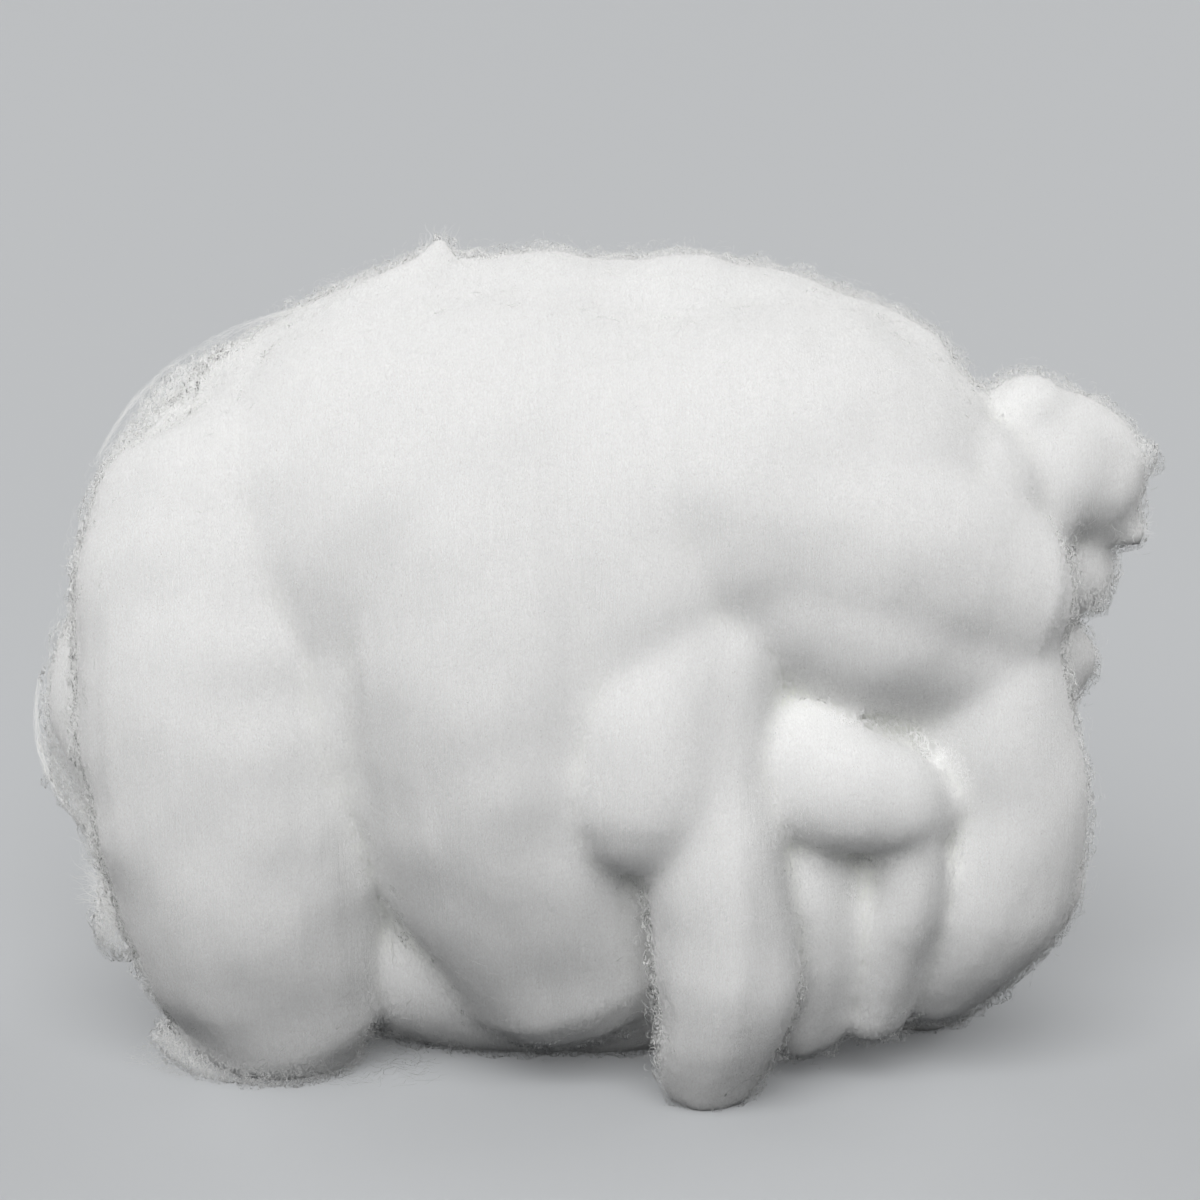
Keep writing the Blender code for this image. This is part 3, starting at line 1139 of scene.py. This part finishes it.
@dataclass(frozen=True)
class CardedCotton:
    """Bleached cotton, carded into a fleece.

    Bleaching takes its wax and colour, so it is a clean, fully matt white. Light runs a few
    millimetres into the fleece and comes out again, which softens its shadows. The deep folds
    get a painted shade, a faint green grey. Carding combs its fibres one way, in fine streaks.
    """

    white: str = "#F6F6F5"
    # Painted shade: the green grey that the deep folds are mixed towards, by fold depth.
    painted_fold_shade: str = "#DCE0D3"
    # Fine locks are about 0.6 mm wide and 8 mm long, and broad ones 3.5 mm and 50 mm.
    fine: tuple = (0.6, 8.0)
    broad: tuple = (3.5, 50.0)
    contrast: float = 0.04
    relief: float = 0.1

    def material(self) -> bpy.types.Material:
        """The fleece's material."""
        material, tree, shader = new_material("bleached_cotton_carded")
        fold = add_node(tree, "ShaderNodeAttribute", {"attribute_name": "fold_depth"}, {})
        deep = add_node(
            tree,
            "ShaderNodeMapRange",
            {"From Min": 0.4, "From Max": 5.0, "To Min": 0.0, "To Max": 1.0},
            {"Value": fold.outputs["Fac"]},
        )
        fine, broad = (self.locks(tree, size) for size in (self.fine, self.broad))
        locks = add_node(
            tree,
            "ShaderNodeMath",
            {"operation": "ADD"},
            {0: fine.outputs["Fac"], 1: broad.outputs["Fac"]},
        )
        # Painted shade: the white turns towards the green grey where the folds are deep.
        colour = add_node(
            tree,
            "ShaderNodeMix",
            {"data_type": "RGBA"},
            {"Factor": deep.outputs["Result"]},
        )
        colour.inputs[6].default_value = linear(self.white)
        colour.inputs[7].default_value = linear(self.painted_fold_shade)
        bright = add_node(
            tree,
            "ShaderNodeMapRange",
            {"From Min": 0.7, "From Max": 1.3, "To Min": 1 - self.contrast, "To Max": 1.0},
            {"Value": locks.outputs["Value"]},
        )
        shade = add_node(
            tree,
            "ShaderNodeVectorMath",
            {"operation": "SCALE"},
            {"Vector": colour.outputs[2], "Scale": bright.outputs["Result"]},
        )
        relief = add_node(
            tree,
            "ShaderNodeBump",
            {"Strength": 1.0, "Distance": self.relief * MM},
            {"Height": locks.outputs["Value"]},
        )
        tree.links.new(shade.outputs["Vector"], shader.inputs["Base Color"])
        tree.links.new(relief.outputs["Normal"], shader.inputs["Normal"])
        shader.inputs["Roughness"].default_value = 1.0
        shader.inputs["Specular IOR Level"].default_value = 0.0
        shader.inputs["Subsurface Weight"].default_value = 0.4
        shader.inputs["Subsurface Radius"].default_value = (1.0, 1.0, 1.0)
        shader.inputs["Subsurface Scale"].default_value = 4.5 * MM
        shader.inputs["Sheen Weight"].default_value = 0.15
        shader.inputs["Sheen Roughness"].default_value = 0.6
        return material

    @staticmethod
    def locks(tree: bpy.types.NodeTree, size: tuple) -> bpy.types.Node:
        """Noise drawn out along the carding, for locks of one width and length.

        Args:
            tree: the node tree.
            size: a lock's width and length in millimetres.

        Returns:
            The Noise Texture node.
        """
        combed = combed_place(tree, *size)
        return add_node(
            tree,
            "ShaderNodeTexNoise",
            {"Scale": 1.0, "Detail": 3.0, "Roughness": 0.6, "Distortion": 0.4},
            {"Vector": combed.outputs["Vector"]},
        )


def combed_place(tree: bpy.types.NodeTree, width: float, length: float) -> bpy.types.Node:
    """Object coordinates in fibre widths across the carding and fibre lengths along it.

    Carding runs up the back, over the top and down the front, so that is the Y and Z axes.

    Args:
        tree: the node tree.
        width: the pattern's size across the fibres, in millimetres.
        length: its size along them.

    Returns:
        The Mapping node.
    """
    place = add_node(tree, "ShaderNodeTexCoord", {}, {})
    scale = (1 / (width * MM), 1 / (length * MM), 1 / (length * MM))
    return add_node(tree, "ShaderNodeMapping", {"Scale": scale}, {"Vector": place.outputs["Object"]})


@dataclass(frozen=True)
class LooseWeb:
    """A web of single cotton fibres, bleached, crimped and tangled, with air between them.

    A fibre is drawn where a smooth noise passes its middle value, which is a thin line that
    wanders over the surface. Real fibres are 0.02 mm wide, too fine to show, so these are
    drawn about 0.15 mm wide.
    """

    colour: str = "#F4F4F3"
    spacing: float = 1.4
    stretch: float = 2.2
    crimp: float = 0.9
    sway: float = 0.45

    def material(self, name: str, width: float) -> bpy.types.Material:
        """The web's material.

        Args:
            name: the layer it is for.
            width: how far from its middle value the noise still draws a fibre.

        Returns:
            The material, with its alpha from the web.
        """
        material, tree, shader = new_material(f"bleached_cotton_{name}")
        combed = combed_place(tree, self.spacing, self.spacing * self.stretch)
        ripple = add_node(
            tree,
            "ShaderNodeTexNoise",
            {"Scale": self.spacing / self.crimp, "Detail": 0.0},
            {"Vector": combed.outputs["Vector"]},
        )
        sway = add_node(
            tree,
            "ShaderNodeVectorMath",
            {"operation": "MULTIPLY_ADD", 1: (self.sway,) * 3},
            {0: ripple.outputs["Color"], 2: combed.outputs["Vector"]},
        )
        fibres = add_node(
            tree,
            "ShaderNodeTexNoise",
            {"Scale": 1.0, "Detail": 1.5, "Roughness": 0.45},
            {"Vector": sway.outputs["Vector"]},
        )
        middle = add_node(
            tree,
            "ShaderNodeVectorMath",
            {"operation": "SUBTRACT", 1: (0.5, 0.5, 0.5)},
            {0: fibres.outputs["Color"]},
        )
        gap = add_node(
            tree, "ShaderNodeVectorMath", {"operation": "ABSOLUTE"}, {0: middle.outputs["Vector"]}
        )
        parts = add_node(tree, "ShaderNodeSeparateXYZ", {}, {"Vector": gap.outputs["Vector"]})
        near = add_node(
            tree,
            "ShaderNodeMath",
            {"operation": "MINIMUM"},
            {0: parts.outputs["X"], 1: parts.outputs["Y"]},
        )
        nearest = add_node(
            tree,
            "ShaderNodeMath",
            {"operation": "MINIMUM"},
            {0: near.outputs["Value"], 1: parts.outputs["Z"]},
        )
        alpha = add_node(
            tree,
            "ShaderNodeMapRange",
            {"From Min": width, "From Max": width * 0.5, "To Min": 0.0, "To Max": 1.0},
            {"Value": nearest.outputs["Value"]},
        )
        tree.links.new(alpha.outputs["Result"], shader.inputs["Alpha"])
        shader.inputs["Base Color"].default_value = linear(self.colour)
        shader.inputs["Roughness"].default_value = 1.0
        shader.inputs["Specular IOR Level"].default_value = 0.0
        return material


@dataclass(frozen=True)
class LooseFibre:
    """Single cotton fibres, bleached: thin, twisted ribbons that scatter light as a matt
    white, with hardly any shine. They come in a bright and a slightly warmer white, and
    those in the folds get a painted shade, the green grey painted on the fleece there."""

    bright: str = "#F6F6F6"
    warm: str = "#F2F2EF"
    # Painted shade: the green grey that fibres deep in the folds are given, as the fleece is there.
    painted_fold_shade: str = "#DEE1D7"

    def materials(self) -> list:
        """The three tints, in the order that a fibre's tint number counts them."""
        return [
            self.tint("bleached_cotton_fibre_bright", self.bright),
            self.tint("bleached_cotton_fibre_warm", self.warm),
            # Painted shade for the fibres in the folds.
            self.tint("bleached_cotton_fibre_painted_fold_shade", self.painted_fold_shade),
        ]

    @staticmethod
    def tint(name: str, colour: str) -> bpy.types.Material:
        """One tint of fibre."""
        material, _, shader = new_material(name)
        shader.inputs["Base Color"].default_value = linear(colour)
        shader.inputs["Roughness"].default_value = 1.0
        shader.inputs["Specular IOR Level"].default_value = 0.0
        return material


@dataclass(frozen=True)
class Studio:
    """The camera at the photograph's angle, a pale floor and soft light from above."""

    lens: float = 100.0
    elevation: float = 12.0
    distance: float = 905.0
    look_at: tuple = (2.2, 0.0, 121.0)
    floor_colour: str = "#C3C5C7"
    floor_side: float = 60000.0
    floor_bounce: str = "#4E5052"
    floor_glow: float = 0.12
    world_strength: float = 0.05
    # Each light's name, strength, width, tilt from overhead and turn from the front.
    lights: tuple = (
        ("key_light", 2.6, 55.0, 48.0, -6.0),
        ("rim_light_left", 0.9, 50.0, 68.0, -122.0),
        ("rim_light_right", 0.9, 50.0, 68.0, 122.0),
    )

    def build(self) -> None:
        """Sets up the camera, the floor and the light."""
        self.camera()
        self.floor()
        self.light()

    def camera(self) -> None:
        """A camera that looks down on the mass from the front."""
        tilt = math.radians(self.elevation)
        back = Vector((0.0, -math.cos(tilt), math.sin(tilt)))
        camera = bpy.data.objects.new("camera", bpy.data.cameras.new("camera"))
        camera.data.lens = self.lens
        camera.data.clip_start = 0.01
        camera.data.clip_end = 200.0
        camera.location = (Vector(self.look_at) + back * self.distance) * MM
        camera.rotation_euler = (-back).to_track_quat("-Z", "Y").to_euler()
        bpy.context.scene.collection.objects.link(camera)
        bpy.context.scene.camera = camera

    def floor(self) -> None:
        """A flat pale floor, wide enough to fill the view."""
        half = self.floor_side / 2 * MM
        mesh = bpy.data.meshes.new("floor")
        corners = [(-half, -half, 0), (half, -half, 0), (half, half, 0), (-half, half, 0)]
        mesh.from_pydata(corners, [], [(0, 1, 2, 3)])
        mesh.materials.append(self.paper())
        floor = bpy.data.objects.new("floor", mesh)
        bpy.context.scene.collection.objects.link(floor)

    def paper(self) -> bpy.types.Material:
        """Matt paper, which the camera sees pale and which sends little light back up."""
        material, tree, shader = new_material("matt_paper")
        path = add_node(tree, "ShaderNodeLightPath", {}, {})
        seen = path.outputs["Is Camera Ray"]
        for ray in ("Is Glossy Ray", "Is Transmission Ray"):
            either = add_node(
                tree,
                "ShaderNodeMath",
                {"operation": "MAXIMUM"},
                {0: seen, 1: path.outputs[ray]},
            )
            seen = either.outputs["Value"]
        colour = add_node(tree, "ShaderNodeMix", {"data_type": "RGBA"}, {"Factor": seen})
        colour.inputs[6].default_value = linear(self.floor_bounce)
        colour.inputs[7].default_value = linear(self.floor_colour)
        tree.links.new(colour.outputs[2], shader.inputs["Base Color"])
        glow = add_node(
            tree,
            "ShaderNodeMath",
            {"operation": "MULTIPLY", 1: self.floor_glow},
            {0: seen},
        )
        shader.inputs["Emission Color"].default_value = linear(self.floor_colour)
        tree.links.new(glow.outputs["Value"], shader.inputs["Emission Strength"])
        shader.inputs["Roughness"].default_value = 0.9
        shader.inputs["Specular IOR Level"].default_value = 0.1
        return material

    def light(self) -> None:
        """A wide, soft light from the front, two on the outline and an even dim surround."""
        for name, strength, width, tilt, turn in self.lights:
            light = bpy.data.objects.new(name, bpy.data.lights.new(name, "SUN"))
            light.data.energy = strength
            light.data.angle = math.radians(width)
            light.rotation_euler = (math.radians(tilt), 0, math.radians(turn))
            bpy.context.scene.collection.objects.link(light)
        world = bpy.data.worlds.new("surround")
        world.use_nodes = True
        background = world.node_tree.nodes["Background"]
        background.inputs["Color"].default_value = (1.0, 1.0, 1.0, 1.0)
        background.inputs["Strength"].default_value = self.world_strength
        bpy.context.scene.world = world
        bpy.context.scene.view_settings.view_transform = "Standard"


COATS = (
    Nap(
        name="nap", count=3400, knots=6, length=13.0, radius=0.045, stray=18.0,
        rise=0.12, most_rise=0.6, wave=0.25, crimp=6.0, back_share=0.5, seed=31,
    ),
    Fuzz(
        name="fuzz_low", count=12000, knots=4, length=3.8, radius=0.04, rise=0.9,
        most_rise=2.6, bend=2.0, back_share=0.5, edge_share=10.0, seed=32,
    ),
    Fuzz(
        name="fuzz_high", count=12600, knots=4, length=4.6, radius=0.045, rise=1.8,
        most_rise=4.8, bend=2.0, back_share=0.5, edge_share=16.0, seed=34,
    ),
    Nap(
        name="stray_fibres", count=800, knots=9, length=15.0, radius=0.04, stray=50.0,
        rise=1.6, most_rise=6.0, wave=0.6, crimp=4.5, back_share=0.5, seed=35,
    ),
)

TUFTS = (
    # The peak's tip.
    Wisp(root=(-40, -8, 217), heading=(0.15, 0, 1), reach=5, length=7, spread=22, bend=50, count=90),
    # Over the hole of the web at the top left.
    Wisp(root=(-108, -20, 184), heading=(0.2, 0, 1), reach=7, length=11, spread=26, bend=70, count=90),
    # The tuft at the lower left.
    Wisp(root=(-128, -16, 42), heading=(-1, -0.3, 0.0), reach=8, length=13, spread=34, bend=120,
         count=420),
    # The skirt's fringe.
    Wisp(root=(-106, -28, 10), heading=(-0.8, -0.5, 0.1), reach=12, length=9, spread=36, bend=70,
         count=180),
    Wisp(root=(-76, -44, 8), heading=(-0.2, -1, 0.1), reach=14, length=7, spread=40, bend=70,
         count=160),
    # The two tips at the right.
    Wisp(root=(146, -9, 164), heading=(1, -0.2, 0.1), reach=5, length=6, spread=22, bend=50, count=90),
    Wisp(root=(143, -8, 143), heading=(1, -0.2, -0.4), reach=5, length=6, spread=24, bend=50, count=90),
)

VEILS = (
    # The web at the top left, with a hole inside its rim.
    Veil(
        inner=((-124, -14, 158), (-104, -16, 176), (-74, -14, 192)),
        rim=((-131, -12, 162), (-116, -12, 194), (-72, -12, 203)),
        count=800,
    ),
    # The loop at the left, over the lower half of the ear.
    Veil(
        inner=((-142, -12, 96), (-138, -14, 76), (-122, -16, 56)),
        rim=((-149, -12, 100), (-155, -12, 70), (-124, -14, 50)),
        count=640,
    ),
    # The small loop in the notch beside the peak.
    Veil(
        inner=((-36, -8, 208), (-30, -10, 206), (-24, -8, 208)),
        rim=((-36, -8, 210), (-29, -8, 225), (-25, -8, 209)),
        count=110, length=4.0,
    ),
    # The fibres that cross the long groove at the left.
    Veil(
        inner=((-66, -46, 88), (-64, -49, 66), (-52, -47, 34)),
        rim=((-60, -46, 88), (-55, -49, 62), (-43, -46, 30)),
        count=150, length=15.0,
    ),
    # The skirt, spread on the table.
    Veil(
        inner=((-112, -30, 14), (-90, -46, 15), (-50, -42, 14)),
        rim=((-124, -40, 4), (-92, -64, 3), (-40, -54, 4)),
        count=640, rim_share=0.03,
    ),
)


def main() -> None:
    """Builds the fleece, its nap and wisps, and the studio round them."""
    logging.basicConfig(level=logging.INFO, format="%(message)s")
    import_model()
    fleece = Fleece()
    skin = fleece.worked()
    pieces = [fleece.build(skin, CardedCotton())]
    pieces += WebLayers().build(skin, fleece.loose, LooseWeb())
    fibre = LooseFibre().materials()
    pieces += [coat.build(skin, fibre) for coat in COATS]
    pieces.append(Wisps().build(skin, TUFTS, VEILS, fibre))
    for piece in pieces:
        corners = len(piece.data.loops)
        LOG.info("%s: %d triangles", piece.name, corners - 2 * len(piece.data.polygons))
    total = sum(len(piece.data.loops) - 2 * len(piece.data.polygons) for piece in pieces)
    LOG.info("all pieces: %d triangles", total)
    Studio().build()


if __name__ == "__main__":
    main()
